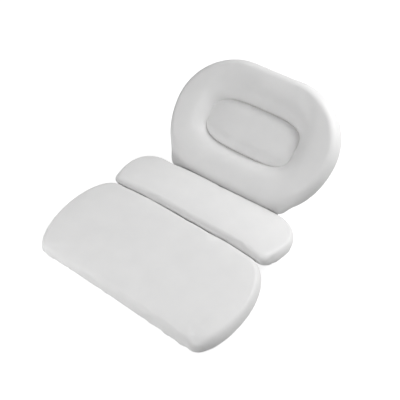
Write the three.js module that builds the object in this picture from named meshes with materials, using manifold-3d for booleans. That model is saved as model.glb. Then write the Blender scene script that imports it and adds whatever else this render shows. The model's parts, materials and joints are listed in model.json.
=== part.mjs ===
// A three-panel bath pillow: a head cushion, a neck bolster and a shoulder cushion in a chain.
// Fabric hinges join the panels, and suction cups on their backs hold the pillow to a tub.
// Millimetres. X runs across the pillow, Y from the shoulder edge to the head, Z up.

import * as THREE from "three";
import { mergeVertices } from "three/addons/utils/BufferGeometryUtils.js";
import Module from "manifold-3d";

// Sheet goods and the space left between neighbouring pieces
const COVER = 1.4;
const BACK_SHEET = 1.6;
const HINGE_SHEET = 1.2;
const FIT = 0.3;

// Shoulder cushion: straight front and back edges with elliptical ends
const SHOULDER_WIDTH = 370;
const SHOULDER_DEPTH = 172;
const SHOULDER_FRONT_CORNER = 35;
const SHOULDER_BACK_CORNER = 47;
const SHOULDER_WIDEST_AT = 84;
const SHOULDER_THICKNESS = 30;
const SHOULDER_CROWN = 3;
const SHOULDER_ROLL = 9;
const SHOULDER_BULGE_AT = 10;
const SHOULDER_HEM_DRAW = 4;

// Neck bolster: long and narrow
const NECK_WIDTH = 334;
const NECK_DEPTH = 96;
const NECK_FRONT_CORNER = 16;
const NECK_BACK_CORNER = 46;
const NECK_WIDEST_AT = 44;
const NECK_THICKNESS = 30;
const NECK_CROWN = 2;
const NECK_ROLL = 8;
const NECK_BULGE_AT = 14;
const NECK_HEM_DRAW = 6;

// Head cushion: a rounded ring about a dished centre pad
const HEAD_WIDTH = 318;
const HEAD_DEPTH = 215;
const HEAD_LOWER_CORNER = 81;
const HEAD_UPPER_CORNER = 111;
const HEAD_WIDEST_AT = 110;
const HEAD_THICKNESS = 38;
const HEAD_ROLL = 14;
const HEAD_BULGE_AT = 16;
const HEAD_HEM_DRAW = 8;

// Sewn groove that frames the head's centre pad
const GROOVE_WIDTH = 171;
const GROOVE_DEPTH = 82;
const GROOVE_CORNER = 50;
const GROOVE_SQUARENESS = 3;
const GROOVE_CENTRE_AT = 105.5;
const GROOVE_HEIGHT = 21;
const CENTRE_PAD_RISE = 6;

// Fabric hinges: reach is the free fabric from a panel's edge to its fold line
const CREASE_REACH = 3;
const CREASE_LAP = 10;
const CREASE_LENGTH = 246;
const FLAP_REACH = 12.5;
const FLAP_LAP = 12;
const FLAP_LENGTH = 206;

// Suction cups, their round patches and the pockets for their button heads
const CUP_RADIUS = 27;
const CUP_REACH = 19.5;
const CUP_RIM_FLAT = 2.5;
const CUP_LIP = 4;
const CUP_WALL = 2.2;
const CUP_BOSS_RADIUS = 8;
const CUP_BOSS_HEIGHT = 4;
const CUP_STEM_RADIUS = 4;
const CUP_BUTTON_RADIUS = 7.5;
const CUP_BUTTON_HEIGHT = 3.5;
const PATCH_RADIUS = 16;
const PATCH_THICKNESS = 1.6;
const PATCH_BEVEL = 0.6;
const POCKET_SPARE = 1;

// Where the cups sit, measured in from each panel's edges
const NECK_CUP_FROM_END = 57;
const NECK_CUP_FROM_BACK = 31;
const HEAD_LOWER_CUP_FROM_SIDE = 70;
const HEAD_LOWER_CUP_FROM_EDGE = 54;
const HEAD_UPPER_CUP_FROM_SIDE = 80;
const HEAD_UPPER_CUP_FROM_EDGE = 53;

// Resting pose, in degrees: the neck tips back and the head folds up from it
const NECK_PITCH = -5;
const HEAD_FOLD = 50.4;

// Fineness of the curved surfaces
const CORNER_STEPS = 8;
const RUN_STEPS = 2;
const HEM_STEPS = 2;
const ROLL_STEPS = 4;
const CROWN_STEPS = 3;
const DISH_STEPS = 4;
const DISH_FALL = 3;
const ROUND_SEGMENTS = 20;
const CURVE_STEPS = 5;

const FOOT = BACK_SHEET + FIT;
const FOAM_INSET = COVER + FIT;
const PATCH_FACE = -FIT - PATCH_THICKNESS;
const BUTTON_TOP = FOOT + CUP_BUTTON_HEIGHT;

const wasm = await Module();
wasm.setup();

// Finishes
const FABRIC = { color: 0xf1f1ef, roughness: 0.55, metalness: 0 };
const BACKING = { color: 0xe6e6e3, roughness: 0.7, metalness: 0 };
const FOAM = { color: 0xefe6cf, roughness: 0.95, metalness: 0 };
const CLEAR_VINYL = { color: 0xdfe8ea, roughness: 0.15, metalness: 0 };

function piece(name, geometry, finish) {
  const mesh = new THREE.Mesh(geometry, new THREE.MeshStandardMaterial(finish));
  mesh.name = name;
  return mesh;
}

// Straight run between two points in equal steps, without its last point.
function straightRun(from, to, steps) {
  return Array.from({ length: steps }, (_, step) => from.clone().lerp(to, step / steps));
}

// Quarter of an ellipse, anticlockwise from a starting angle, without its last point.
// A squareness of 2 is a true ellipse, and more fills out its corner.
function quarterTurn(x, y, radiusX, radiusY, start, squareness) {
  const fuller = (value) => Math.sign(value) * Math.abs(value) ** (2 / squareness);
  return Array.from({ length: CORNER_STEPS }, (_, step) => {
    const turn = start + (Math.PI / 2) * (step / CORNER_STEPS);
    return new THREE.Vector2(
      x + radiusX * fuller(Math.cos(turn)),
      y + radiusY * fuller(Math.sin(turn)),
    );
  });
}

// Outline, anticlockwise from the middle of its front edge: straight front and back runs joined by
// quarter ellipses that meet where the outline is widest.
function outlineLoop(width, depth, frontCorner, backCorner, widestAt, squareness = 2) {
  const frontRun = width / 2 - frontCorner;
  const backRun = width / 2 - backCorner;
  const backSpan = depth - widestAt;
  const middle = new THREE.Vector2(0, 0);
  const frontRight = new THREE.Vector2(frontRun, 0);
  const frontLeft = new THREE.Vector2(-frontRun, 0);
  const backRight = new THREE.Vector2(backRun, depth);
  const backLeft = new THREE.Vector2(-backRun, depth);
  return [
    ...straightRun(middle, frontRight, RUN_STEPS),
    ...quarterTurn(frontRun, widestAt, frontCorner, widestAt, -Math.PI / 2, squareness),
    ...quarterTurn(backRun, widestAt, backCorner, backSpan, 0, squareness),
    ...straightRun(backRight, backLeft, 2 * RUN_STEPS),
    ...quarterTurn(-backRun, widestAt, backCorner, backSpan, Math.PI / 2, squareness),
    ...quarterTurn(-frontRun, widestAt, frontCorner, widestAt, Math.PI, squareness),
    ...straightRun(frontLeft, middle, RUN_STEPS),
  ];
}

const shoulder = {
  loop: outlineLoop(SHOULDER_WIDTH, SHOULDER_DEPTH, SHOULDER_FRONT_CORNER, SHOULDER_BACK_CORNER,
    SHOULDER_WIDEST_AT),
  halfWidth: SHOULDER_WIDTH / 2,
  halfDepth: SHOULDER_DEPTH / 2,
  centre: SHOULDER_DEPTH / 2,
  thickness: SHOULDER_THICKNESS,
  crown: SHOULDER_CROWN,
  roll: SHOULDER_ROLL,
  bulgeAt: SHOULDER_BULGE_AT,
  hemDraw: SHOULDER_HEM_DRAW,
};

const neck = {
  loop: outlineLoop(NECK_WIDTH, NECK_DEPTH, NECK_FRONT_CORNER, NECK_BACK_CORNER, NECK_WIDEST_AT),
  halfWidth: NECK_WIDTH / 2,
  halfDepth: NECK_DEPTH / 2,
  centre: NECK_DEPTH / 2,
  thickness: NECK_THICKNESS,
  crown: NECK_CROWN,
  roll: NECK_ROLL,
  bulgeAt: NECK_BULGE_AT,
  hemDraw: NECK_HEM_DRAW,
};

const head = {
  loop: outlineLoop(HEAD_WIDTH, HEAD_DEPTH, HEAD_LOWER_CORNER, HEAD_UPPER_CORNER, HEAD_WIDEST_AT),
  halfWidth: HEAD_WIDTH / 2,
  halfDepth: HEAD_DEPTH / 2,
  centre: HEAD_DEPTH / 2,
  thickness: HEAD_THICKNESS,
  roll: HEAD_ROLL,
  bulgeAt: HEAD_BULGE_AT,
  hemDraw: HEAD_HEM_DRAW,
};

const groove = {
  loop: outlineLoop(GROOVE_WIDTH, GROOVE_DEPTH, GROOVE_CORNER, GROOVE_CORNER, GROOVE_DEPTH / 2,
    GROOVE_SQUARENESS)
    .map((point) => point.setY(point.y + GROOVE_CENTRE_AT - GROOVE_DEPTH / 2)),
  halfWidth: GROOVE_WIDTH / 2,
  halfDepth: GROOVE_DEPTH / 2,
  centre: GROOVE_CENTRE_AT,
};

// One ring of points: an outline drawn in by an inset and lifted to a height.
function ring(outline, inset, height) {
  const across = 1 - inset / outline.halfWidth;
  const along = 1 - inset / outline.halfDepth;
  return outline.loop.map((point) => new THREE.Vector3(
    point.x * across,
    outline.centre + (point.y - outline.centre) * along,
    height,
  ));
}

// Rings of a cushion's side: drawn in at the hem, out to the bulge, then rolled over at the top.
function sideRings(panel, inset) {
  const rings = [];
  for (let step = 0; step < HEM_STEPS; step += 1) {
    const drop = 1 - step / HEM_STEPS;
    const height = panel.bulgeAt - (panel.bulgeAt - FOOT) * drop;
    rings.push(ring(panel, inset + panel.hemDraw * drop ** 2, height));
  }
  for (let step = 0; step <= ROLL_STEPS; step += 1) {
    const turn = (Math.PI / 2) * (step / ROLL_STEPS);
    const drawIn = (panel.roll - inset) * (1 - Math.cos(turn));
    const height = panel.bulgeAt + (panel.thickness - inset - panel.bulgeAt) * Math.sin(turn);
    rings.push(ring(panel, inset + drawIn, height));
  }
  return rings;
}

// Rings that shrink an edge ring towards its middle while the surface rises to a crown.
function crownRings(edge, centre, crown) {
  const rings = [];
  for (let step = 1; step < CROWN_STEPS; step += 1) {
    const share = 1 - step / CROWN_STEPS;
    const rise = crown * (1 - share ** 2);
    rings.push(edge.map((point) => new THREE.Vector3(
      point.x * share,
      centre + (point.y - centre) * share,
      point.z + rise,
    )));
  }
  return rings;
}

// Rings from the head ring's crest down into the groove, steepest at the seam.
function dishRings(crest, seam) {
  const rings = [];
  for (let step = 1; step <= DISH_STEPS; step += 1) {
    const way = step / DISH_STEPS;
    rings.push(crest.map((point, index) => {
      const spot = point.clone().lerp(seam[index], way);
      spot.z = THREE.MathUtils.lerp(point.z, seam[index].z, way ** DISH_FALL);
      return spot;
    }));
  }
  return rings;
}

// Closed skin through a run of rings. The two ends close on a point each, or on each other.
// Each four-sided patch splits on its shorter diagonal, so that nested skins stay parallel.
function loft(rings, startPoint, endPoint) {
  const count = rings[0].length;
  const points = rings.flat();
  const faces = [];
  const corner = (row, index) => row * count + (index % count);
  const spans = startPoint ? rings.length - 1 : rings.length;
  for (let row = 0; row < spans; row += 1) {
    const next = (row + 1) % rings.length;
    for (let index = 0; index < count; index += 1) {
      const a = corner(row, index);
      const b = corner(row, index + 1);
      const c = corner(next, index + 1);
      const d = corner(next, index);
      const splitAtA = points[a].distanceTo(points[c]) <= points[b].distanceTo(points[d]);
      faces.push(...(splitAtA ? [a, b, c, a, c, d] : [a, b, d, b, c, d]));
    }
  }
  if (startPoint) {
    const start = points.push(startPoint) - 1;
    const end = points.push(endPoint) - 1;
    const last = rings.length - 1;
    for (let index = 0; index < count; index += 1) {
      faces.push(start, corner(0, index + 1), corner(0, index));
      faces.push(corner(last, index), corner(last, index + 1), end);
    }
  }
  const geometry = new THREE.BufferGeometry().setFromPoints(points);
  geometry.setIndex(faces);
  geometry.computeVertexNormals();
  return geometry;
}

function toSolid(geometry) {
  const bare = geometry.clone();
  bare.deleteAttribute("normal");
  bare.deleteAttribute("uv");
  const merged = mergeVertices(bare);
  return new wasm.Manifold(new wasm.Mesh({
    numProp: 3,
    vertProperties: new Float32Array(merged.attributes.position.array),
    triVerts: new Uint32Array(merged.index.array),
  }));
}

function subtract(geometry, cutters) {
  const cut = cutters.reduce((body, cutter) => body.subtract(toSolid(cutter)), toSolid(geometry));
  const mesh = cut.getMesh();
  const result = new THREE.BufferGeometry();
  result.setAttribute("position", new THREE.BufferAttribute(mesh.vertProperties, 3));
  result.setIndex(new THREE.BufferAttribute(mesh.triVerts, 1));
  result.computeVertexNormals();
  return result;
}

// Domed front cover: an inner skin and an outer skin that meet at the hem.
function domeCover(panel) {
  const skin = (inset) => {
    const side = sideRings(panel, inset);
    return [...side, ...crownRings(side.at(-1), panel.centre, panel.crown)];
  };
  const top = panel.thickness + panel.crown;
  const inside = new THREE.Vector3(0, panel.centre, top - COVER);
  const outside = new THREE.Vector3(0, panel.centre, top);
  return loft([...skin(COVER).reverse(), ...skin(0)], inside, outside);
}

function domeFoam(panel, pockets) {
  const side = sideRings(panel, FOAM_INSET);
  const rings = [...side, ...crownRings(side.at(-1), panel.centre, panel.crown)];
  const base = new THREE.Vector3(0, panel.centre, FOOT);
  const top = new THREE.Vector3(0, panel.centre, panel.thickness + panel.crown - FOAM_INSET);
  return subtract(loft(rings, base, top), pockets);
}

// The head ring's surface from hem to groove, at a given depth under the outer face.
function ringSkin(inset) {
  const side = sideRings(head, inset);
  const seam = ring(groove, -FIT / 2, GROOVE_HEIGHT - inset);
  return [...side, ...dishRings(side.at(-1), seam)];
}

function headRingCover() {
  return loft([...ringSkin(0), ...ringSkin(COVER).reverse()]);
}

function headRingFoam(pockets) {
  const wallFoot = ring(groove, -FIT / 2, FOOT);
  return subtract(loft([...ringSkin(FOAM_INSET), wallFoot]), pockets);
}

// The centre pad's puffed face, at a given depth under its outer face.
function padSkin(inset) {
  const edge = ring(groove, FIT / 2, GROOVE_HEIGHT - inset);
  return [edge, ...crownRings(edge, groove.centre, CENTRE_PAD_RISE)];
}

function padTop(inset) {
  return new THREE.Vector3(0, groove.centre, GROOVE_HEIGHT + CENTRE_PAD_RISE - inset);
}

function headCentreCover() {
  return loft([...padSkin(COVER).reverse(), ...padSkin(0)], padTop(COVER), padTop(0));
}

function headCentreFoam() {
  const base = new THREE.Vector3(0, groove.centre, FOOT);
  return loft([ring(groove, FIT / 2, FOOT), ...padSkin(FOAM_INSET)], base, padTop(FOAM_INSET));
}

// Flat back sheet, flush with the cover's hem, with a hole for each cup's stem.
function backSheet(panel, cups) {
  const hem = ring(panel, panel.hemDraw, 0);
  const shape = new THREE.Shape(hem.map((point) => new THREE.Vector2(point.x, point.y)));
  shape.holes = cups.map(({ x, y }) => (
    new THREE.Path().absarc(x, y, CUP_STEM_RADIUS + FIT, 0, Math.PI * 2)
  ));
  const curveSegments = ROUND_SEGMENTS / 2;
  return new THREE.ExtrudeGeometry(shape, { depth: BACK_SHEET, bevelEnabled: false, curveSegments });
}

// Strip of hinge fabric under two panels' back sheets. It lies flat against the first panel, rounds
// the fold line at foldAt and lies flat against the second, which is turned by foldAngle.
function hingeStrip(foldAt, foldAngle, reach, lap, length) {
  const ahead = new THREE.Vector2(Math.cos(foldAngle), Math.sin(foldAngle));
  const under = new THREE.Vector2(ahead.y, -ahead.x);
  const near = (distance, depth) => new THREE.Vector2(foldAt - distance, -depth);
  const far = (distance, depth) => new THREE.Vector2(foldAt, 0)
    .addScaledVector(ahead, distance)
    .addScaledVector(under, depth);
  const bend = (depth) => new THREE.Vector2(foldAt, 0)
    .addScaledVector(new THREE.Vector2(Math.tan(foldAngle / 2), -1), depth);
  const inner = FIT;
  const outer = FIT + HINGE_SHEET;
  const shape = new THREE.Shape();
  shape.moveTo(...near(reach + lap, outer));
  shape.lineTo(...near(reach, outer));
  shape.quadraticCurveTo(...bend(outer), ...far(reach, outer));
  shape.lineTo(...far(reach + lap, outer));
  shape.lineTo(...far(reach + lap, inner));
  shape.lineTo(...far(reach, inner));
  shape.quadraticCurveTo(...bend(inner), ...near(reach, inner));
  shape.lineTo(...near(reach + lap, inner));
  const strip = new THREE.ExtrudeGeometry(shape, {
    depth: length,
    bevelEnabled: false,
    curveSegments: CURVE_STEPS,
  });
  const lengthways = new THREE.Matrix4().makeBasis(
    new THREE.Vector3(0, 1, 0),
    new THREE.Vector3(0, 0, 1),
    new THREE.Vector3(1, 0, 0),
  );
  return strip.applyMatrix4(lengthways).translate(-length / 2, 0, 0);
}

// Turned shape about a panel's normal, from a path of radius and height.
function turned(path) {
  return new THREE.LatheGeometry(path.getPoints(CURVE_STEPS), ROUND_SEGMENTS).rotateX(Math.PI / 2);
}

// Suction cup: a button head above the back sheet, a stem through it, a boss and a hollow bell.
function suctionCup() {
  const bossTop = PATCH_FACE - FIT;
  const bellTop = bossTop - CUP_BOSS_HEIGHT;
  const rimInside = CUP_RADIUS - CUP_RIM_FLAT;
  const hollowTop = bellTop - CUP_WALL;
  const path = new THREE.Path();
  path.moveTo(0, hollowTop);
  path.quadraticCurveTo(rimInside - CUP_LIP, hollowTop, rimInside, -CUP_REACH);
  path.lineTo(CUP_RADIUS, -CUP_REACH);
  path.quadraticCurveTo(CUP_RADIUS - CUP_LIP, bellTop, CUP_BOSS_RADIUS, bellTop);
  path.lineTo(CUP_BOSS_RADIUS, bossTop);
  path.lineTo(CUP_STEM_RADIUS, bossTop);
  path.lineTo(CUP_STEM_RADIUS, FOOT);
  path.lineTo(CUP_BUTTON_RADIUS, FOOT);
  path.quadraticCurveTo(CUP_BUTTON_RADIUS, BUTTON_TOP, 0, BUTTON_TOP);
  return turned(path);
}

// Round patch that strengthens the back sheet about a cup's stem.
function cupPatch() {
  const hole = CUP_STEM_RADIUS + FIT;
  const path = new THREE.Path();
  path.moveTo(hole, PATCH_FACE);
  path.lineTo(PATCH_RADIUS - PATCH_BEVEL, PATCH_FACE);
  path.lineTo(PATCH_RADIUS, PATCH_FACE + PATCH_BEVEL);
  path.lineTo(PATCH_RADIUS, -FIT);
  path.lineTo(hole, -FIT);
  path.lineTo(hole, PATCH_FACE);
  return turned(path);
}

// Pocket in the foam that clears a cup's button head.
function pocket({ x, y }) {
  const radius = CUP_BUTTON_RADIUS + POCKET_SPARE;
  const height = CUP_BUTTON_HEIGHT + 2 * POCKET_SPARE;
  return new THREE.CylinderGeometry(radius, radius, height, ROUND_SEGMENTS)
    .rotateX(Math.PI / 2)
    .translate(x, y, FOOT - POCKET_SPARE + height / 2);
}

function addCups(panelGroup, cups) {
  for (const { name, x, y } of cups) {
    const cup = piece(`${name}_suction_cup`, suctionCup(), CLEAR_VINYL);
    const patch = piece(`${name}_cup_patch`, cupPatch(), BACKING);
    cup.position.set(x, y, 0);
    patch.position.set(x, y, 0);
    panelGroup.add(cup, patch);
  }
}

const neckCupX = neck.halfWidth - NECK_CUP_FROM_END;
const neckCupY = NECK_DEPTH - NECK_CUP_FROM_BACK;
const neckCups = [
  { name: "neck_left", x: -neckCupX, y: neckCupY },
  { name: "neck_middle", x: 0, y: neckCupY },
  { name: "neck_right", x: neckCupX, y: neckCupY },
];

const lowerCupX = head.halfWidth - HEAD_LOWER_CUP_FROM_SIDE;
const upperCupX = head.halfWidth - HEAD_UPPER_CUP_FROM_SIDE;
const upperCupY = HEAD_DEPTH - HEAD_UPPER_CUP_FROM_EDGE;
const headCups = [
  { name: "head_lower_left", x: -lowerCupX, y: HEAD_LOWER_CUP_FROM_EDGE },
  { name: "head_lower_right", x: lowerCupX, y: HEAD_LOWER_CUP_FROM_EDGE },
  { name: "head_upper_left", x: -upperCupX, y: upperCupY },
  { name: "head_upper_right", x: upperCupX, y: upperCupY },
];

const shoulderPanel = new THREE.Group();
shoulderPanel.add(
  piece("shoulder_front_cover", domeCover(shoulder), FABRIC),
  piece("shoulder_foam_core", domeFoam(shoulder, []), FOAM),
  piece("shoulder_back_sheet", backSheet(shoulder, []), BACKING),
);

const headPanel = new THREE.Group();
headPanel.add(
  piece("head_ring_cover", headRingCover(), FABRIC),
  piece("head_centre_cover", headCentreCover(), FABRIC),
  piece("head_ring_foam", headRingFoam(headCups.map(pocket)), FOAM),
  piece("head_centre_foam", headCentreFoam(), FOAM),
  piece("head_back_sheet", backSheet(head, headCups), BACKING),
);
addCups(headPanel, headCups);

// The shoulder's hem and the rear of the neck cups' rims stand on the same level surface.
const neckTip = THREE.MathUtils.degToRad(-NECK_PITCH);
const rimBehindCrease = CREASE_REACH + neckCupY + CUP_RADIUS;
const creaseHeight = rimBehindCrease * Math.sin(neckTip) + CUP_REACH * Math.cos(neckTip);
const hemToCrease = SHOULDER_DEPTH - SHOULDER_HEM_DRAW + CREASE_REACH;
const creaseFold = -neckTip - Math.asin(creaseHeight / hemToCrease);
const headFold = THREE.MathUtils.degToRad(HEAD_FOLD);

const neckPanel = new THREE.Group();
const flapFoldAt = NECK_DEPTH + FLAP_REACH;
const flap = hingeStrip(flapFoldAt, headFold, FLAP_REACH, FLAP_LAP, FLAP_LENGTH);
const crease = hingeStrip(0, creaseFold, CREASE_REACH, CREASE_LAP, CREASE_LENGTH)
  .applyMatrix4(new THREE.Matrix4().makeRotationX(-creaseFold))
  .translate(0, -CREASE_REACH, 0);
neckPanel.add(
  piece("neck_front_cover", domeCover(neck), FABRIC),
  piece("neck_foam_core", domeFoam(neck, neckCups.map(pocket)), FOAM),
  piece("neck_back_sheet", backSheet(neck, neckCups), BACKING),
  piece("head_hinge_flap", flap, BACKING),
  piece("shoulder_hinge_tape", crease, BACKING),
);
addCups(neckPanel, neckCups);
neckPanel.rotation.x = -neckTip;

// The head hangs on the flap's fold line and the shoulder on the crease's.
const headHinge = new THREE.Group();
headHinge.position.y = flapFoldAt;
headHinge.rotation.x = headFold;
headPanel.position.y = FLAP_REACH;
headHinge.add(headPanel);

const shoulderHinge = new THREE.Group();
shoulderHinge.position.y = -CREASE_REACH;
shoulderHinge.rotation.x = -creaseFold;
shoulderPanel.position.y = -SHOULDER_DEPTH - CREASE_REACH;
shoulderHinge.add(shoulderPanel);

neckPanel.add(headHinge, shoulderHinge);

// The origin is the middle of the footprint, on the surface that the pillow stands on.
const pillow = new THREE.Group();
pillow.add(neckPanel);
pillow.updateMatrixWorld(true);
const extent = new THREE.Box3().setFromObject(pillow, true);
const middle = extent.getCenter(new THREE.Vector3());
pillow.position.set(-middle.x, -middle.y, -extent.min.z);

export default pillow;
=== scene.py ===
"""A three-panel bath pillow: soft covers, sewn seams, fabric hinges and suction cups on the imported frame."""

import json
import math

import bmesh
import bpy
import numpy as np
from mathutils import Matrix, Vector


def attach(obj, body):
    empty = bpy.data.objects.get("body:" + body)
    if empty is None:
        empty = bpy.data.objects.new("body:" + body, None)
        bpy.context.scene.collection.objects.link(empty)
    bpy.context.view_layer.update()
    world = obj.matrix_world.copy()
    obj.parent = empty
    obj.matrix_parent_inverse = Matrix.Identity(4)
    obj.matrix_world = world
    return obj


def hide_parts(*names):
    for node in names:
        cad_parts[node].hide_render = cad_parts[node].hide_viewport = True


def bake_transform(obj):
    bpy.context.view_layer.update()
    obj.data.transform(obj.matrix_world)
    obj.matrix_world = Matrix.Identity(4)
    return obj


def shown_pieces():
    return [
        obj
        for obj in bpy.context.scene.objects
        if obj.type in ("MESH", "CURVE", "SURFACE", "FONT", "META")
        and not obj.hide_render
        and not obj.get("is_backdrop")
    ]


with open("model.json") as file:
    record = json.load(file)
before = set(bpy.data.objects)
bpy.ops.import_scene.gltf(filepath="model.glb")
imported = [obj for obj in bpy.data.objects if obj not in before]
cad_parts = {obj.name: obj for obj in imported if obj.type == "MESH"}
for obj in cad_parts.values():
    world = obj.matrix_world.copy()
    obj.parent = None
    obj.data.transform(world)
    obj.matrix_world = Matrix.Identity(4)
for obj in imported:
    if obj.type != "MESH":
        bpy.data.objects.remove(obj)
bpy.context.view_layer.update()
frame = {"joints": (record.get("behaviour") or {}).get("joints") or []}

MM = 0.001

# Thicknesses and clearances of the sewn sheets
BACK_SHEET = 1.6 * MM
HINGE_SHEET = 1.2 * MM
FIT = 0.3 * MM
FOOT = BACK_SHEET + FIT

# Panels in millimetres, in their own frames: x across, v along from the front edge, n out of the padded face
#   outline: width, depth, front corner, back corner and how far along it is widest
#   bulge: height at which the side is widest; draw and roll: how far the hem and the top edge come in
#   grid: quads across and along the top
#   presses: edge, swelling, height and spread of a wall that presses on its neighbour
#   shifts: edge, x, spread and swelling of a wall over its whole height
#   lobes: x, spread and swelling of a front corner
#   puckers: x, width and depth of a pinch in the front hem
#   rounds: direction and spread in degrees, more roll and more draw, of a softer corner
SHOULDER = {
    "outline": (370, 172, 35, 47, 84), "thickness": 30, "crown": 3, "roll": 9, "bulge": 10, "draw": 4,
    "grid": (80, 42), "seed": 11,
    "presses": [("back", 4.0, 22, 9)],
    "shifts": [("back", -140, 40, -2.7), ("back", 5, 85, 1.4), ("back", 146, 34, -3.2)],
    "puckers": [(146, 5, 3.0)],
    "rounds": [(-55, 28, 9, 10)],
}
NECK = {
    "outline": (334, 96, 16, 46, 44), "thickness": 30, "crown": 2, "roll": 8, "bulge": 14, "draw": 6,
    "grid": (72, 24), "seed": 23,
    "presses": [("front", 8.0, 24, 11), ("back", 0.6, 25, 8)],
    "shifts": [("back", -118, 45, -5.0), ("back", 98, 50, 2.0), ("front", -140, 45, 2.5),
               ("front", 146, 30, 3.0)],
    "lobes": [(-164, 10, 1.5)],
}
HEAD = {
    "outline": (318, 215, 81, 111, 110), "thickness": 38, "roll": 14, "bulge": 16, "draw": 8,
    "grid": (68, 46), "seed": 37, "front_roll": 12,
    "presses": [("front", 4.4, 25, 10)],
    "shifts": [("front", 98, 50, -1.5), ("front", -80, 30, -0.4)],
    "lobes": [(-108, 15, 13.0), (109, 10, 7.0)],
}
NECK_PITCH, HEAD_PITCH, SHOULDER_PITCH = (math.radians(angle) for angle in (-5, 45.4, 9.3242))

# Sides of the cushions: steps up the hem and over the roll, and a lobe's swelling with the tuck above it,
# as height and spread in millimetres
HEM_STEPS, ROLL_STEPS = 5, 9
LOBE_SWELLING, LOBE_TUCK, LOBE_TUCK_SHARE = (17, 7), (29, 4), 0.35

# Gathers of the hems: wavelengths in metres, how they bunch along the hem, and how far they reach in and up
GATHER_LONGEST, GATHER_SHORTEST = 0.034, 0.015
BUNCH_WAVES, BUNCH_MEAN, BUNCH_SWING, BUNCH_LIMITS = (2, 9), 0.45, 0.55, (0.08, 1.5)
GATHER_IN, GATHER_UP, GATHER_FADE = 0.75 * MM, 0.5 * MM, 9 * MM
FRONT_HEM = 20 * MM

# Groove sewn into the head, in millimetres: its outline, squareness of its right and left corners, where its
# middle lies along and across the head, height of the seam and rise of the pad inside
GROOVE = {
    "outline": (175, 83.4, 87.5, 87.5, 41.7), "square": (3.7, 3.3), "centre": 105.3, "aside": 0.3,
    "height": 21, "rise": 9,
}
GROOVE_CENTRE = np.array([GROOVE["aside"], GROOVE["centre"]]) * MM
SLOPE_STEPS, SLOPE_CROWDING, SLOPE_FALL = 18, 1.35, 4
PAD_INSETS, PAD_FULLNESS = (0, 1.2, 2.6, 4.4, 6.6), 5

# Tuck of the covers along the groove's seam, which also sets the cover's painted shade there, and where it is
# fainter: direction, spread and share lost
TUCK_DEPTH, TUCK_REACH = 1.7 * MM, 1.5 * MM
TUCK_FADES = ((172, 26, 0.75), (340, 28, 0.6))

# Cloth that puffs the covers, with its slack and the most that it may move
CLOTH = {
    "use_pressure": True, "uniform_pressure_force": 1.0, "quality": 8, "mass": 0.25, "tension_stiffness": 30,
    "compression_stiffness": 30, "shear_stiffness": 12, "bending_stiffness": 1.5, "air_damping": 6,
}
CLOTH_FRAMES = 20
CUSHION_SLACK, CUSHION_PUFF = 0.004, 3 * MM
PAD_SLACK, PAD_PUFF = 0.002, 2 * MM

# Rings of a back sheet: margin from its edge and dent of the stitching in millimetres, share of the gathers
BACK_RINGS = (
    (0, 0, 1), (1.6, 0, 1), (3.2, 0, 0.9), (3.8, 0.35, 0.8), (4.4, 0, 0.7), (6.5, 0, 0.35), (9.5, 0, 0),
)
STEM_OPENING = 7.5 * MM

# Hinge strips: free reach on each side of the fold, lap under each panel and length
CREASE_REACH, CREASE_LAP, CREASE_LENGTH = 3 * MM, 10 * MM, 246 * MM
FLAP_REACH, FLAP_LAP, FLAP_LENGTH = 12.5 * MM, 12 * MM, 206 * MM
STRIP_STEPS, LAP_STEPS, BEND_STEPS = 112, 9, 24
STITCH_ROWS, STITCH_DENT = [3, 6, -4, -7], 0.2 * MM
FLUTTER_WAVES = (3, 16)

# Suction cups in millimetres: places across and along the panels
NECK_CUPS = {"neck_left": (-110, 65), "neck_middle": (0, 65), "neck_right": (110, 65)}
HEAD_CUPS = {
    "head_lower_left": (-89, 54), "head_lower_right": (89, 54),
    "head_upper_left": (-79, 162), "head_upper_right": (79, 162),
}
LATHE_SEGMENTS = 72

# Floor in metres: its half size, its drop below the object, and its white from the middle outwards
FLOOR_HALF, FLOOR_DROP = 4.0, 0.4 * MM
FLOOR_RADII, FLOOR_LEVELS = (0.5, 1.3), (0.86, 1.0)
FLOOR_SHADE, FLOOR_BOUNCE = 0.4, 0.5

# Lamps: place, size, power and target, in metres and watts
WORLD_LIGHT = 0.07
MIDDLE = (0, 0, 0.06)
LAMPS = {
    "front": ((0, -1.13, 1.2), 0.9, 7.3, MIDDLE),
    "left": ((-0.96, -0.96, 0.92), 0.9, 1.9, MIDDLE),
    "back_right": ((0.8, 0.8, 1.2), 0.9, 22.8, MIDDLE),
    "low_front": ((-0.36, -0.85, 0.085), 0.16, 2.0, (-0.05, -0.2, 0.02)),
}

# Camera, as fitted to the photograph's outlines: degrees, metres, and its focal length in pixels
CAMERA_AZIMUTH, CAMERA_ELEVATION, CAMERA_DISTANCE = math.radians(38.29), math.radians(42.98), 1.1295
CAMERA_TARGET = (-0.0005, -0.0065, 0.0582)
FOCAL_PIXELS, PICTURE_PIXELS, SENSOR_WIDTH = 684.9, 400, 36


# Where each panel lies: its own origin and pitch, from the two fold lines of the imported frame
hinge = {joint["name"]: joint["pos_m"] for joint in frame["joints"]}


def panel_frame(fold, pitch, distance):
    """Origin and pitch of a panel whose front edge is a distance behind a fold line."""
    point = hinge[fold]
    return (point[1] + distance * math.cos(pitch), point[2] + distance * math.sin(pitch), pitch)


NECK_FRAME = panel_frame("shoulder_fold", NECK_PITCH, CREASE_REACH)
HEAD_FRAME = panel_frame("head_fold", HEAD_PITCH, FLAP_REACH)
SHOULDER_FRAME = panel_frame("shoulder_fold", SHOULDER_PITCH, -CREASE_REACH - SHOULDER["outline"][1] * MM)


def placed(points, where):
    """Points of a panel's own frame, in the row frame."""
    y, z, pitch = where
    c, s = math.cos(pitch), math.sin(pitch)
    x, v, n = np.asarray(points, float).T
    return np.stack([x, y + v * c - n * s, z + v * s + n * c], 1)


# Outlines and grids
def near(values, at, spread):
    """1 at a value, falling off smoothly on both sides of it."""
    return np.exp(-((values - at) / spread) ** 2)


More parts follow.
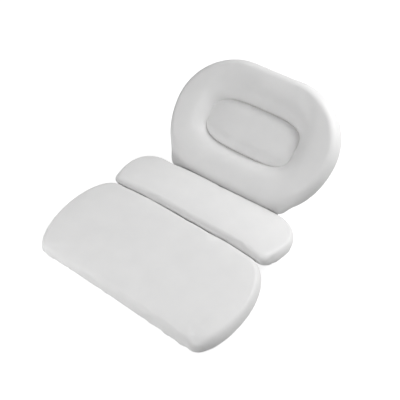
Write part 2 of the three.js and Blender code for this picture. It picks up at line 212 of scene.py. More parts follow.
def resampled(line, count):
    """A polyline as count equal steps, without its last point."""
    run = np.r_[0, np.cumsum(np.linalg.norm(np.diff(line, axis=0), axis=1))]
    at = np.linspace(0, run[-1], count + 1)[:-1]
    return np.stack([np.interp(at, run, line[:, axis]) for axis in range(2)], 1)


def outline(size, grid, square=(2.0, 2.0)):
    """Panel outline in metres, anticlockwise from its front right corner, as the four sides of a grid."""
    width, depth, front, back, widest = (value * MM for value in size)
    half = 80
    turn = np.linspace(0, math.pi / 2, 2 * half + 1)

    def corners(power):
        sine, cosine = np.sin(turn) ** (2 / power), np.cos(turn).clip(0) ** (2 / power)
        lower = np.stack([width / 2 - front + front * sine, widest * (1 - cosine)], 1)
        upper = np.stack([width / 2 - back + back * cosine, widest + (depth - widest) * sine], 1)
        return lower, upper

    mirror = np.array([-1, 1])
    lower, upper = corners(square[0])
    lower_left, upper_left = ((side * mirror)[::-1] for side in corners(square[1]))
    across, along = grid
    return np.concatenate([
        resampled(np.concatenate([lower[half:], upper[1:half + 1]]), along),
        resampled(np.concatenate([upper[half:], upper_left[:half + 1]]), across),
        resampled(np.concatenate([upper_left[half:], lower_left[1:half + 1]]), along),
        resampled(np.concatenate([lower_left[half:], lower[:half + 1]]), across),
    ])


def filled(loop, grid):
    """Inner points of a grid stretched over a loop, and the grid's numbering after that loop's points."""
    across, along = grid
    n = len(loop)
    numbers = np.zeros((across + 1, along + 1), int)
    numbers[across, :] = np.arange(along + 1)
    numbers[::-1, along] = along + np.arange(across + 1)
    numbers[0, ::-1] = along + across + np.arange(along + 1)
    numbers[:, 0] = (2 * along + across + np.arange(across + 1)) % n
    u = np.linspace(0, 1, across + 1)[:, None, None]
    v = np.linspace(0, 1, along + 1)[None, :, None]
    edge = loop[numbers]
    front, back = edge[:, :1], edge[:, -1:]
    left, right = edge[:1, :], edge[-1:, :]
    corners = ((1 - u) * (1 - v) * edge[0, 0] + u * (1 - v) * edge[-1, 0]
               + (1 - u) * v * edge[0, -1] + u * v * edge[-1, -1])
    inside = (1 - v) * front + v * back + (1 - u) * left + u * right - corners
    numbers[1:-1, 1:-1] = n + np.arange((across - 1) * (along - 1)).reshape(across - 1, along - 1)
    return inside[1:-1, 1:-1].reshape(-1, loop.shape[1]), numbers


def ring(loop, centre, half, inset, height):
    """A loop drawn in by an inset about its panel's centre, and lifted to a height."""
    scale = 1 - np.outer(np.broadcast_to(inset, len(loop)), 1 / half)
    flat = centre + (loop - centre) * scale
    return np.column_stack([flat, np.broadcast_to(height, len(loop))])


def band_faces(rows, count):
    """Quads between successive rings."""
    r, k = np.meshgrid(np.arange(rows - 1), np.arange(count), indexing="ij")
    a, b = r * count + k, r * count + (k + 1) % count
    return np.stack([a, b, b + count, a + count], -1).reshape(-1, 4).tolist()


def grid_faces(numbers, start=0):
    """Quads of a grid of point numbers."""
    quads = np.stack([numbers[:-1, :-1], numbers[1:, :-1], numbers[1:, 1:], numbers[:-1, 1:]], -1)
    return (quads.reshape(-1, 4) + start).tolist()


def capped(rings, grid, height):
    """Points and quads of stacked rings, the last one filled in at a height worked out from its points."""
    inner, numbers = filled(rings[-1][:, :2], grid)
    points = np.concatenate([*rings, np.column_stack([inner, height(inner)])])
    count = len(rings[0])
    return points, band_faces(len(rings), count) + grid_faces(numbers, (len(rings) - 1) * count)


def share_of(points, loop, centre):
    """How far out each point lies between a loop's centre, 0, and the loop itself, 1."""
    def polar(p):
        d = p[:, :2] - centre
        return np.arctan2(d[:, 1], d[:, 0]), np.linalg.norm(d, axis=1)
    angle, radius = polar(loop)
    order = np.argsort(angle)
    at, far = polar(points)
    return np.clip(far / np.interp(at, angle[order], radius[order], period=2 * math.pi), 0, 1)


def ripple(around, low, high, seed):
    """Smooth closed noise along a loop, of about unit height, from its low to its high harmonic."""
    rng = np.random.default_rng(seed)
    total = np.zeros_like(around)
    for harmonic in range(low, high):
        total += rng.normal() * np.cos(2 * math.pi * (harmonic * around + rng.random()))
    return total / math.sqrt((high - low) / 2)


def gathers(loop, seed):
    """Height of the small gathers that sewing leaves along a hem."""
    step = np.linalg.norm(np.roll(loop, -1, 0) - loop, axis=1)
    length = step.sum()
    around = (np.cumsum(step) - step) / length
    waves = ripple(around, int(length / GATHER_LONGEST), int(length / GATHER_SHORTEST), seed)
    bunches = BUNCH_MEAN + BUNCH_SWING * ripple(around, *BUNCH_WAVES, seed + 1)
    return waves * np.clip(bunches, *BUNCH_LIMITS)


# Meshes
def mesh_object(name, points, faces, where=None):
    """An object in the row frame, from points given there or in a panel's own frame."""
    data = bpy.data.meshes.new(name)
    data.from_pydata(np.asarray(points if where is None else placed(points, where)).tolist(), [], faces)
    data.update()
    obj = bpy.data.objects.new(name, data)
    bpy.context.scene.collection.objects.link(obj)
    return obj


def coords(data):
    """Points of a mesh."""
    flat = np.zeros(len(data.vertices) * 3, np.float32)
    data.vertices.foreach_get("co", flat)
    return flat.reshape(-1, 3).astype(float)


def set_coords(data, points):
    """Moves a mesh's points."""
    data.vertices.foreach_set("co", np.asarray(points, np.float32).ravel())
    data.update()


def mark(obj, name, values):
    """Keeps a value at each of an object's points."""
    layer = obj.data.attributes.new(name, "FLOAT", "POINT")
    layer.data.foreach_set("value", np.asarray(values, np.float32))


def marks(obj, name):
    """Values kept at an object's points."""
    values = np.zeros(len(obj.data.vertices), np.float32)
    obj.data.attributes[name].data.foreach_get("value", values)
    return values.astype(float)


def smooth(obj):
    """Shades an object smoothly."""
    obj.data.polygons.foreach_set("use_smooth", [True] * len(obj.data.polygons))
    obj.data.update()
    return obj


def applied(obj):
    """Replaces an object's mesh by what its modifiers make of it."""
    graph = bpy.context.evaluated_depsgraph_get()
    data = bpy.data.meshes.new_from_object(obj.evaluated_get(graph))
    obj.modifiers.clear()
    old, obj.data = obj.data, data
    name = old.name
    bpy.data.meshes.remove(old)
    data.name = name
    return obj


def subdivided(obj):
    """Splits an object's quads once, smoothly."""
    obj.modifiers.new("finer", "SUBSURF").levels = 1
    return applied(obj)


def thickened(obj, thickness, offset):
    """Gives a sheet its thickness."""
    modifier = obj.modifiers.new("thickness", "SOLIDIFY")
    modifier.thickness = thickness
    modifier.offset = offset
    return applied(obj)


def puffed(obj, sewn, slack, cap):
    """Puffs a cover over its filling: cloth under pressure, held at its sewn points and capped."""
    start = coords(obj.data)
    obj.vertex_groups.new(name="sewn").add(sewn, 1.0, "REPLACE")
    cloth = obj.modifiers.new("puff", "CLOTH")
    for name, value in CLOTH.items():
        setattr(cloth.settings, name, value)
    cloth.settings.vertex_group_mass = "sewn"
    cloth.settings.effector_weights.gravity = 0
    cloth.settings.shrink_min = -slack
    cloth.collision_settings.use_collision = False
    cloth.point_cache.frame_end = CLOTH_FRAMES
    for number in range(1, CLOTH_FRAMES + 1):
        bpy.context.scene.frame_set(number)
    graph = bpy.context.evaluated_depsgraph_get()
    move = coords(obj.evaluated_get(graph).data) - start
    obj.modifiers.clear()
    obj.vertex_groups.clear()
    bpy.context.scene.frame_set(1)
    far = np.linalg.norm(move, axis=1)
    move *= (cap * np.tanh(far / cap) / np.maximum(far, 1e-9))[:, None]
    set_coords(obj.data, start + move)
    return obj


# Cushions
def side_profile(panel):
    """Hem's draw, share of the roll and height up a cushion's side, from its hem to the bulge and over."""
    draw, bulge, top = panel["draw"] * MM, panel["bulge"] * MM, panel["thickness"] * MM
    steps = []
    for drop in np.linspace(1, 0, HEM_STEPS + 1)[:-1]:
        steps.append((draw * drop ** 2, 0, bulge - (bulge - FOOT) * drop))
    for turn in np.linspace(0, math.pi / 2, ROLL_STEPS + 1):
        steps.append((0, 1 - math.cos(turn), bulge + (top - bulge) * math.sin(turn)))
    return steps


def outward(loop):
    """Unit normals that point out of an anticlockwise loop."""
    along = np.roll(loop, -1, 0) - np.roll(loop, 1, 0)
    normal = np.stack([along[:, 1], -along[:, 0]], 1)
    return normal / np.linalg.norm(normal, axis=1)[:, None]


def facing(normal, edge):
    """How far a wall faces a panel's front or back, from 0 to 1."""
    return np.clip(normal[:, 1] * {"front": -1, "back": 1}[edge], 0, 1) ** 3


def swell(panel, loop, normal, height):
    """How far a wall swells out at a height: pressed on its neighbour, and in lobes at its corners."""
    across, up = loop[:, 0] / MM, height / MM
    total = np.zeros(len(loop))
    for edge, bulge, at, spread in panel["presses"]:
        total += bulge * MM * facing(normal, edge) * near(up, at, spread)
    for edge, x, spread, bulge in panel["shifts"]:
        total += bulge * MM * facing(normal, edge) * near(across, x, spread)
    for x, spread, bulge in panel.get("lobes", []):
        corner = near(across, x, spread) * (loop[:, 1] < panel["outline"][4] * MM)
        fold = near(up, *LOBE_SWELLING) - LOBE_TUCK_SHARE * near(up, *LOBE_TUCK)
        total += bulge * MM * corner * fold
    return total


def panel_loop(panel):
    """A panel's outline with its centre and half sizes."""
    loop = outline(panel["outline"], panel["grid"])
    width, depth = panel["outline"][0] * MM, panel["outline"][1] * MM
    return loop, np.array([0, depth / 2]), np.array([width / 2, depth / 2])


def hem_offsets(panel, loop):
    """Inset and lift that the gathers give to a panel's hem."""
    wave = gathers(loop, panel["seed"])
    inset = GATHER_IN * wave
    for x, width, depth in panel.get("puckers", []):
        inset += depth * MM * near(loop[:, 0] / MM, x, width) * (loop[:, 1] < FRONT_HEM)
    return inset, GATHER_UP * np.abs(wave)


def rounding(panel, normal):
    """Extra roll, and extra draw of the hem, where a corner of a panel is softer than the rest."""
    angle = np.degrees(np.arctan2(normal[:, 1], normal[:, 0]))
    roll, draw = np.zeros(len(normal)), np.zeros(len(normal))
    for at, spread, more_roll, more_draw in panel.get("rounds", []):
        roll += more_roll * MM * near(angle, at, spread)
        draw += more_draw * MM * near(angle, at, spread)
    return roll, draw


def side_rings(panel, loop, centre, half):
    """Rings of a cushion's side, with its hem's gathers fading out up the side."""
    inset, lift = hem_offsets(panel, loop)
    normal = outward(loop)
    more_roll, more_draw = rounding(panel, normal)
    roll = (panel["roll"] + panel.get("front_roll", 0) * facing(normal, "front")) * MM + more_roll
    deeper = 1 + more_draw / (panel["draw"] * MM)
    rings = []
    for drawn, turned, height in side_profile(panel):
        fade = near(height, FOOT, GATHER_FADE)
        made = ring(loop, centre, half, drawn * deeper + roll * turned + inset * fade, height + lift * fade)
        made[:, :2] += normal * swell(panel, loop, normal, height)[:, None]
        rings.append(made)
    return rings


def settled(obj, where):
    """A finished cover, moved from its panel's own frame to its place."""
    set_coords(obj.data, placed(coords(obj.data), where))
    return smooth(obj)


def cushion(name, panel, where):
    """A crowned cushion: gathered sides, rolled edge and a puffed top."""
    loop, centre, half = panel_loop(panel)
    rings = side_rings(panel, loop, centre, half)

    def crown(flat):
        share = share_of(flat, rings[-1], centre)
        return (panel["thickness"] + panel["crown"] * (1 - share ** 2)) * MM

    obj = mesh_object(name, *capped(rings, panel["grid"], crown))
    obj = puffed(obj, list(range(len(loop))), CUSHION_SLACK, CUSHION_PUFF)
    return settled(subdivided(obj), where)


def groove_loop():
    """The groove's seam on the head."""
    loop = outline(GROOVE["outline"], HEAD["grid"], GROOVE["square"])
    shift = (GROOVE["centre"] - GROOVE["outline"][1] / 2) * MM
    return loop + np.array([GROOVE["aside"] * MM, shift])


def tucked(obj):
    """Draws a cover down into the sewn groove, less where the photo's seam is faint."""
    points = coords(obj.data)
    away = points[:, :2] - GROOVE_CENTRE
    angle = np.degrees(np.arctan2(away[:, 1], away[:, 0])) % 360
    strength = np.ones(len(points))
    for at, spread, loss in TUCK_FADES:
        strength -= loss * near((angle - at + 180) % 360, 180, spread)
    tuck = strength * np.exp(-marks(obj, "seam") / TUCK_REACH)
    points[:, 2] -= TUCK_DEPTH * tuck
    set_coords(obj.data, points)
    # The tuck also masks the cover's painted shade down in the seam.
    mark(obj, "tuck", tuck)
    return obj


def head_ring():
    """The head's ring cushion, from its hem over the roll and down into the sewn groove."""
    loop, centre, half = panel_loop(HEAD)
    rings = side_rings(HEAD, loop, centre, half)
    seam = groove_loop()
    crest = rings[-1]
    for way in 1 - np.linspace(1, 0, SLOPE_STEPS + 1)[1:] ** SLOPE_CROWDING:
        flat = crest[:, :2] * (1 - way) + seam * way
        drop = (HEAD["thickness"] - GROOVE["height"]) * MM * way ** SLOPE_FALL
        rings.append(np.column_stack([flat, crest[:, 2] - drop]))
    count, total = len(loop), len(loop) * len(rings)
    obj = mesh_object("head_ring_cushion", np.concatenate(rings), band_faces(len(rings), count))
    mark(obj, "seam", np.concatenate([np.linalg.norm(row[:, :2] - seam, axis=1) for row in rings]))
    obj = puffed(obj, [*range(count), *range(total - count, total)], CUSHION_SLACK, CUSHION_PUFF)
    return settled(tucked(subdivided(obj)), HEAD_FRAME)


def head_pad():
    """The puffed pad inside the groove."""
    seam = groove_loop()
    half = np.array(GROOVE["outline"][:2]) * MM / 2

    def crown(flat):
        share = share_of(flat, seam, GROOVE_CENTRE)
        return (GROOVE["height"] + GROOVE["rise"] * (1 - share ** PAD_FULLNESS)) * MM

    rings = []
    for inset in PAD_INSETS:
        row = ring(seam, GROOVE_CENTRE, half, inset * MM, 0)
        row[:, 2] = crown(row)
        rings.append(row)
    points, faces = capped(rings, HEAD["grid"], crown)
    obj = mesh_object("head_centre_pad", points, faces)
    radius = np.linalg.norm(points[:, :2] - GROOVE_CENTRE, axis=1)
    share = share_of(points, seam, GROOVE_CENTRE)
    mark(obj, "seam", radius * (1 / np.maximum(share, 1e-3) - 1))
    obj = puffed(obj, list(range(len(seam))), PAD_SLACK, PAD_PUFF)
    return settled(tucked(subdivided(obj)), HEAD_FRAME)


shoulder_cushion = cushion("shoulder_cushion", SHOULDER, SHOULDER_FRAME)
neck_cushion = cushion("neck_cushion", NECK, NECK_FRAME)
head_ring_cushion = head_ring()
head_centre_pad = head_pad()


# Back sheets and hinge strips
def back_sheet(name, panel, where, cups):
    """Flat backing inside a cover's hem, stitched near its edge, open for the cups' stems."""
    loop, centre, half = panel_loop(panel)
    inset, lift = hem_offsets(panel, loop)
    draw = panel["draw"] * MM + rounding(panel, outward(loop))[1]
    rings = []
    for margin, dent, follow in BACK_RINGS:
        drawn = draw + margin * MM + inset * follow
        rings.append(ring(loop, centre, half, drawn, lift * follow + dent * MM))
    points, faces = capped(rings, panel["grid"], lambda flat: np.zeros(len(flat)))
    stems = np.array(list(cups.values()), float).reshape(-1, 1, 2) * MM
    middles = points[np.array(faces), :2].mean(1)
    whole = (np.linalg.norm(stems - middles, axis=2) > STEM_OPENING).all(0)
    obj = mesh_object(name, points, [face[::-1] for face, kept in zip(faces, whole) if kept], where)
    return smooth(thickened(obj, BACK_SHEET, -1))


def hinge_strip(name, where, fold_at, fold, reach, lap, length, flutter, seed):
    """Strip of hinge fabric sewn under two panels, bent at its fold line, fluttering a little where free."""
    ahead = np.array([math.cos(fold), math.sin(fold)])
    under = np.array([ahead[1], -ahead[0]])
    depth = FIT + HINGE_SHEET / 2
    first = np.array([[fold_at - reach - lap, -depth], [fold_at - reach, -depth]])
    corner = np.array([fold_at + depth * math.tan(fold / 2), -depth])
    second = np.array([fold_at, 0]) + np.outer([reach, reach + lap], ahead) + depth * under
    t = np.linspace(0, 1, BEND_STEPS + 1)[:, None]
    bend = (1 - t) ** 2 * first[1] + 2 * t * (1 - t) * corner + t ** 2 * second[0]
    laps = np.linspace(0, 1, LAP_STEPS + 1)[:, None]
    line = np.concatenate([first[0] + (first[1] - first[0]) * laps[:-1], bend,
                           second[0] + (second[1] - second[0]) * laps[1:]])
    free = np.concatenate([np.zeros(LAP_STEPS), np.sin(math.pi * t[:, 0]), np.zeros(LAP_STEPS)])
    stitched = np.zeros(len(line))
    stitched[STITCH_ROWS] = 1
    x = np.linspace(-length / 2, length / 2, STRIP_STEPS + 1)
    along = np.gradient(line, axis=0)
    out = np.stack([-along[:, 1], along[:, 0]], 1) / np.linalg.norm(along, axis=1)[:, None]
    wave = flutter * ripple((x / length + 0.5) / 2, *FLUTTER_WAVES, seed)
    offset = np.outer(wave, free) - STITCH_DENT * stitched
    points = np.empty((len(x), len(line), 3))
    points[..., 0] = x[:, None]
    points[..., 1:] = line + offset[..., None] * out
    numbers = np.arange(len(x) * len(line)).reshape(len(x), len(line))
    obj = mesh_object(name, points.reshape(-1, 3), grid_faces(numbers), where)
    return smooth(thickened(obj, HINGE_SHEET, 0))


def folded_down(obj, fold, angle):
    """Turns the part of a strip in front of a fold line of the neck down onto the next panel."""
    origin = np.array([0, hinge[fold][1], hinge[fold][2]])
    local = coords(obj.data) - origin
    ahead = local[:, 1] * math.cos(NECK_PITCH) + local[:, 2] * math.sin(NECK_PITCH)
    turn = angle * np.clip(-ahead / CREASE_REACH, 0, 1)
    turned = local.copy()
    turned[:, 1] = local[:, 1] * np.cos(turn) - local[:, 2] * np.sin(turn)
    turned[:, 2] = local[:, 1] * np.sin(turn) + local[:, 2] * np.cos(turn)
    set_coords(obj.data, turned + origin)


shoulder_backing = back_sheet("shoulder_backing", SHOULDER, SHOULDER_FRAME, {})
neck_backing = back_sheet("neck_backing", NECK, NECK_FRAME, NECK_CUPS)
head_backing = back_sheet("head_backing", HEAD, HEAD_FRAME, HEAD_CUPS)
head_flap = hinge_strip("head_flap", NECK_FRAME, NECK["outline"][1] * MM + FLAP_REACH,
                        HEAD_PITCH - NECK_PITCH, FLAP_REACH, FLAP_LAP, FLAP_LENGTH, flutter=0.5 * MM, seed=51)
shoulder_tape = hinge_strip("shoulder_tape", NECK_FRAME, -CREASE_REACH, 0,
                            CREASE_REACH, CREASE_LAP, CREASE_LENGTH, flutter=0.1 * MM, seed=53)
folded_down(shoulder_tape, "shoulder_fold", SHOULDER_PITCH - NECK_PITCH)


# Suction cups and patches
def curve(start, control, end, steps):
    """Points of a quadratic curve after its start."""
    t = np.linspace(0, 1, steps + 1)[1:, None]
    start, control, end = (np.array(point, float) for point in (start, control, end))
    return ((1 - t) ** 2 * start + 2 * t * (1 - t) * control + t ** 2 * end).tolist()


# Radius and height in millimetres of a cup's bell, flat rim, boss, stem and button head, with eased edges
CUP_PROFILE = [
    [0, -8.4], *curve((0, -8.4), (20.5, -8.4), (24.5, -19.5), 18),
    [24.9, -19.5], [26.6, -19.5], [27, -19.3], *curve((27, -19.3), (23, -6.2), (8.8, -6.2), 18),
    [8.2, -6.0], [8, -5.4], [8, -2.7], [7.6, -2.2], [4.2, -2.2], [4, -2.0], [4, 1.7], [4.2, 1.9],
    [7.0, 1.9], [7.5, 2.2], *curve((7.5, 2.2), (7.4, 5.4), (0, 5.4), 10),
]

# The same for a patch, with its welded bead and the hole for the stem
PATCH_PROFILE = [
    [4.3, -0.3], [4.3, -1.7], [4.6, -1.9], [11.4, -1.9], [11.9, -1.6], [12.4, -1.55], [12.9, -1.6],
    [13.4, -1.9], [15.2, -1.9], [15.7, -1.7], [16, -1.3], [16, -0.5], [15.7, -0.3],
]


def lathe(name, profile, centre, where):
    """Turned piece about a panel's normal, closed where its profile leaves the axis open."""
    path = np.array(profile, float) * MM
    turn = np.linspace(0, 2 * math.pi, LATHE_SEGMENTS + 1)[:-1]
    middle = np.array(centre, float) * MM
    rows = []
    for radius, height in path:
        rows.append(np.column_stack([middle[0] + radius * np.cos(turn), middle[1] + radius * np.sin(turn),
                                     np.full(LATHE_SEGMENTS, height)]))
    if path[0, 0] > 0 and path[-1, 0] > 0:
        rows.append(rows[0])
    obj = mesh_object(name, np.concatenate(rows), band_faces(len(rows), LATHE_SEGMENTS), where)
    work = bmesh.new()
    work.from_mesh(obj.data)
    bmesh.ops.remove_doubles(work, verts=work.verts, dist=1e-6)
    bmesh.ops.recalc_face_normals(work, faces=work.faces)
    work.to_mesh(obj.data)
    work.free()
    return smooth(obj)


cups, patches = [], []
for where, body, spots in ((NECK_FRAME, "neck", NECK_CUPS), (HEAD_FRAME, "head", HEAD_CUPS)):
    for cup_name, spot in spots.items():
        cup = lathe(f"{cup_name}_cup_bell", CUP_PROFILE, spot, where)
        patch = lathe(f"{cup_name}_cup_ring", PATCH_PROFILE, spot, where)
        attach(cup, f"{cup_name}_cup")
        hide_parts(f"{cup_name}_suction_cup")
        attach(patch, body)
        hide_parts(f"{cup_name}_cup_patch")
        cups.append(cup)
        patches.append(patch)


# Materials
NOISE_LOW, NOISE_HIGH = 0.3, 0.7


class Nodes:
    """A node tree, built up socket by socket."""

    def __init__(self, tree):
        self.tree = tree

    def node(self, kind, settings=None, **inputs):
        """A new node with its settings, and with its inputs by name, underscores for spaces."""
        made = self.tree.nodes.new(kind)
        for key, value in (settings or {}).items():
            setattr(made, key, value)
        for key, value in inputs.items():
            self.put(made.inputs[key.replace("_", " ")], value)
        return made

    def put(self, socket, value):
        """Links an input to an output, or gives it a value."""
        if isinstance(value, bpy.types.NodeSocket):
            self.tree.links.new(value, socket)
        else:
            socket.default_value = value

    def joined(self, kind, settings, *values):
        """First output of a new node, with its inputs in their order."""
        made = self.node(kind, settings)
        for socket, value in zip(made.inputs, values):
            self.put(socket, value)
        return made.outputs[0]

    def calc(self, operation, *values):
        """Result of a math node."""
        return self.joined("ShaderNodeMath", {"operation": operation}, *values)

    def ramp(self, value, low, high, start, end):
        """A value between low and high, mapped to the range from start to end."""
        return self.node("ShaderNodeMapRange", Value=value, From_Min=low, From_Max=high, To_Min=start,
                         To_Max=end).outputs["Result"]

    def place(self):
        """Coordinates on the object itself."""
        return self.node("ShaderNodeTexCoord").outputs["Object"]

    def seen_rays(self):
        """1 for rays that show the surroundings: from the camera, mirrored or through clear vinyl."""
        path = self.node("ShaderNodeLightPath").outputs
        total = path["Is Camera Ray"]
        for name in ("Is Glossy Ray", "Is Transmission Ray"):
            total = self.calc("MAXIMUM", total, path[name])
        return total


class Finish(Nodes):
    """A material of the object."""

    def __init__(self, name):
        self.material = bpy.data.materials.new(name)
        self.material.use_nodes = True
        super().__init__(self.material.node_tree)
        self.shader = self.tree.nodes["Principled BSDF"]
        self.at = self.place()

    def noise(self, scale, detail=2.0):
        """Smooth noise over the object."""
        return self.node("ShaderNodeTexNoise", Vector=self.at, Scale=scale, Detail=detail).outputs["Fac"]

    def varied(self, start, end, scale, detail=2.0, low=NOISE_LOW):
        """A value that wanders between start and end over the object."""
        return self.ramp(self.noise(scale, detail), low, NOISE_HIGH, start, end)

    def mixed(self, factor, first, second):
        """A colour between two others."""
        made = self.node("ShaderNodeMix", {"data_type": "RGBA"})
        for index, value in ((0, factor), (6, first), (7, second)):
            self.put(made.inputs[index], value)
        return made.outputs[2]

    def bump(self, height, distance, strength, under=None):
        """A normal bumped by a height, over another normal if one is given."""
        made = self.node("ShaderNodeBump", Height=height, Distance=distance, Strength=strength)
        if under is not None:
            self.put(made.inputs["Normal"], under)
        return made.outputs["Normal"]

    def set(self, **inputs):
        """The material, with its shader's inputs by name."""
        for key, value in inputs.items():
            self.put(self.shader.inputs[key.replace("_", " ")], value)
        return self.material


def grey(value, warmth=0.0):
    """A grey, a little warmer by a share."""
    return (value, value * (1 - warmth / 2), value * (1 - warmth), 1)


def cover_finish():
    """Smooth coated fabric: faint blotches, fine grain and a soft satin gloss, with painted shade darkening it
    down in a seam.
    """
    f = Finish("cover_fabric")
    tint = f.mixed(f.varied(0, 1, scale=26, detail=3), grey(0.80, 0.004), grey(0.83, 0.006))
    # Painted shade: the cover's colour darkens where it is tucked down into the groove's seam.
    seam = f.node("ShaderNodeAttribute", {"attribute_name": "tuck"}).outputs["Fac"]
    tint = f.mixed(seam, tint, grey(0.76, 0.02))
    soft = f.bump(f.noise(55), distance=0.5 * MM, strength=0.5)
    grain = f.bump(f.noise(1500), distance=0.06 * MM, strength=0.5, under=soft)
    return f.set(Base_Color=tint, Roughness=f.varied(0.44, 0.56, scale=90), Normal=grain,
                 Sheen_Weight=0.08, Sheen_Roughness=0.4, Specular_IOR_Level=0.35)


def woven_finish(name, pitch, light=0.80, dark=0.72):
    """Plain woven backing cloth with a coated face."""
    f = Finish(name)
    split = f.node("ShaderNodeSeparateXYZ", Vector=f.at).outputs
    turns = 2 * math.pi / pitch
    warp = f.calc("SINE", f.calc("MULTIPLY", split["X"], turns))
    weft = f.calc("SINE", f.calc("MULTIPLY", f.calc("ADD", split["Y"], split["Z"]), turns))
    threads = f.ramp(f.calc("MULTIPLY", warp, weft), -1, 1, 0, 1)
    cloth = f.mixed(threads, grey(dark, 0.012), grey(light, 0.01))
    tint = f.mixed(f.varied(0, 0.35, scale=30, detail=3, low=0.35), cloth, grey(dark, 0.02))
    slubs = f.bump(f.noise(70), distance=0.4 * MM, strength=0.4)
    ridges = f.bump(threads, distance=0.12 * MM, strength=0.6, under=slubs)
    return f.set(Base_Color=tint, Roughness=f.varied(0.6, 0.75, scale=120), Normal=ridges,
                 Specular_IOR_Level=0.3)


def vinyl_finish():
    """Clear soft vinyl, faintly cloudy."""
    f = Finish("clear_vinyl")
    tint = f.mixed(f.varied(0, 1, scale=160), (0.86, 0.91, 0.92, 1), (0.92, 0.95, 0.95, 1))
    ripples = f.bump(f.noise(220), distance=0.2 * MM, strength=0.35)
    return f.set(Base_Color=tint, Roughness=f.varied(0.1, 0.2, scale=300), Normal=ripples,
                 Transmission_Weight=0.85, IOR=1.52)


def patch_finish():
    """Matt white welded vinyl with a fine pebble grain."""
    f = Finish("patch_vinyl")
    tint = f.mixed(f.varied(0, 1, scale=200), grey(0.78, 0.01), grey(0.84, 0.012))
    cells = f.node("ShaderNodeTexVoronoi", Vector=f.at, Scale=1400.0).outputs["Distance"]
    pebble = f.bump(cells, distance=0.1 * MM, strength=0.6)
    return f.set(Base_Color=tint, Roughness=f.varied(0.45, 0.6, scale=400), Normal=pebble,
                 Specular_IOR_Level=0.4)


for material, wearers in (
    (cover_finish(), (shoulder_cushion, neck_cushion, head_ring_cushion, head_centre_pad)),
    (woven_finish("back_fabric", 1.1 * MM), (shoulder_backing, neck_backing, head_backing)),
    (woven_finish("hinge_fabric", 0.9 * MM), (head_flap, shoulder_tape)),
    (vinyl_finish(), cups),
    (patch_finish(), patches),
):
    for piece in wearers:
        piece.data.materials.append(material)


# Floor, world and lamps
def add_floor():
    """White floor that keeps the object's shadow."""
    corners = [(x, y, -FLOOR_DROP) for x in (-FLOOR_HALF, FLOOR_HALF) for y in (-FLOOR_HALF, FLOOR_HALF)]
    floor = mesh_object("floor", corners, grid_faces(np.arange(4).reshape(2, 2)))
    material = bpy.data.materials.new("floor")
    material.use_nodes = True
    f = Nodes(material.node_tree)
    f.tree.nodes.clear()
    middle = f.node("ShaderNodeVectorMath", {"operation": "LENGTH"})
    f.put(middle.inputs[0], f.place())
    level = f.ramp(middle.outputs["Value"], *FLOOR_RADII, *FLOOR_LEVELS)
    white = f.node("ShaderNodeEmission", Color=grey(1), Strength=level)
    shade = f.node("ShaderNodeBsdfDiffuse", Color=grey(FLOOR_SHADE))
    bounce = f.node("ShaderNodeBsdfDiffuse", Color=grey(FLOOR_BOUNCE))
    seen = f.joined("ShaderNodeAddShader", None, white.outputs[0], shade.outputs[0])
    mix = f.joined("ShaderNodeMixShader", None, f.seen_rays(), bounce.outputs[0], seen)
    f.node("ShaderNodeOutputMaterial", Surface=mix)
    floor.data.materials.append(material)
    floor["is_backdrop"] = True
    return floor


def keep_under(floor, pieces):
    """Keeps the floor under the pieces' lowest point, also where a folded panel hangs down."""
    standing = bpy.data.collections.new("standing")
    for piece in pieces:
        standing.objects.link(piece)
    tree = bpy.data.node_groups.new("floor_level", "GeometryNodeTree")
    for way in ("INPUT", "OUTPUT"):
        tree.interface.new_socket("Geometry", in_out=way, socket_type="NodeSocketGeometry")
    g = Nodes(tree)
    shown = g.node("GeometryNodeCollectionInfo", {"transform_space": "RELATIVE"}, Collection=standing)
    joined = g.node("GeometryNodeRealizeInstances", Geometry=shown.outputs["Instances"])
    box = g.node("GeometryNodeBoundBox", Geometry=joined.outputs["Geometry"])
    lowest = g.node("ShaderNodeSeparateXYZ", Vector=box.outputs["Min"])
    shift = g.node("ShaderNodeCombineXYZ", Z=lowest.outputs["Z"])
    moved = g.node("GeometryNodeTransform", Geometry=g.node("NodeGroupInput").outputs["Geometry"],
                   Translation=shift.outputs[0])
    g.node("NodeGroupOutput", Geometry=moved.outputs["Geometry"])
    floor.modifiers.new("level", "NODES").node_group = tree


def add_world():
    """White surroundings that light the object only a little."""
    world = bpy.data.worlds.new("studio")
    bpy.context.scene.world = world
    world.use_nodes = True
    w = Nodes(world.node_tree)
    w.tree.nodes.clear()
    light = w.node("ShaderNodeBackground", Color=grey(1), Strength=WORLD_LIGHT)
    white = w.node("ShaderNodeBackground", Color=grey(1))
    mix = w.joined("ShaderNodeMixShader", None, w.seen_rays(), light.outputs[0], white.outputs[0])
    w.node("ShaderNodeOutputWorld", Surface=mix)


def add_aimed(name, data, place, direction):
    """A lamp or camera at a place, looking in a direction."""
    obj = bpy.data.objects.new(name, data)
    bpy.context.scene.collection.objects.link(obj)
    obj.location = place
    obj.rotation_mode = "QUATERNION"
    obj.rotation_quaternion = direction.to_track_quat("-Z", "Y")
    return obj


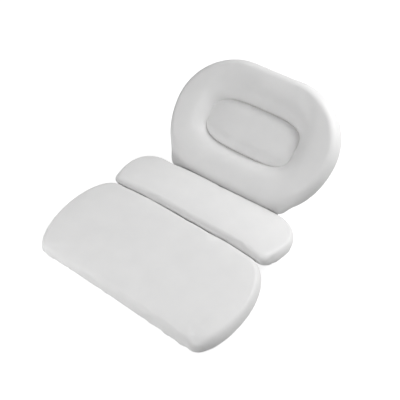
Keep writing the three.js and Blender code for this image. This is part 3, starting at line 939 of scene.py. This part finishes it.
def add_lamp(name, place, size, power, target):
    """A square area lamp, aimed at a target."""
    data = bpy.data.lights.new(name, "AREA")
    data.shape = "SQUARE"
    data.size = size
    data.energy = power
    add_aimed(name, data, place, Vector(target) - Vector(place))


def add_camera():
    """The photograph's camera."""
    data = bpy.data.cameras.new("camera")
    data.sensor_width = SENSOR_WIDTH
    data.lens = FOCAL_PIXELS / PICTURE_PIXELS * SENSOR_WIDTH
    level = math.cos(CAMERA_ELEVATION)
    back = Vector((math.sin(CAMERA_AZIMUTH) * level, -math.cos(CAMERA_AZIMUTH) * level,
                   math.sin(CAMERA_ELEVATION)))
    place = Vector(CAMERA_TARGET) + back * CAMERA_DISTANCE
    bpy.context.scene.camera = add_aimed("camera", data, place, -back)


floor = add_floor()
add_world()
for lamp_name, lamp in LAMPS.items():
    add_lamp(lamp_name, *lamp)
add_camera()
bpy.context.scene.view_settings.view_transform = "Standard"


# Bodies, replaced solids and soft forms
for piece, body, nodes in (
    (shoulder_cushion, "shoulder", ("shoulder_front_cover", "shoulder_foam_core")),
    (neck_cushion, "neck", ("neck_front_cover", "neck_foam_core")),
    (head_ring_cushion, "head", ("head_ring_cover", "head_ring_foam")),
    (head_centre_pad, "head", ("head_centre_cover", "head_centre_foam")),
):
    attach(piece, body)
    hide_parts(*nodes)


def flat_area(panel):
    """Area of a back sheet inside its cover's hem, in square metres."""
    loop, centre, half = panel_loop(panel)
    edge = ring(loop, centre, half, panel["draw"] * MM + rounding(panel, outward(loop))[1], 0)
    x, y = edge[:, 0], edge[:, 1]
    return 0.5 * abs(np.sum(x * np.roll(y, -1) - np.roll(x, -1) * y))


for piece, body, panel in (
    (shoulder_backing, "shoulder", SHOULDER), (neck_backing, "neck", NECK), (head_backing, "head", HEAD),
):
    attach(piece, body)
    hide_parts(f"{body}_back_sheet")
    flat_area(panel)

for piece, node in ((head_flap, "head_hinge_flap"), (shoulder_tape, "shoulder_hinge_tape")):
    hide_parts(node)


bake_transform(head_flap)
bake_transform(shoulder_tape)

keep_under(floor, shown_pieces())
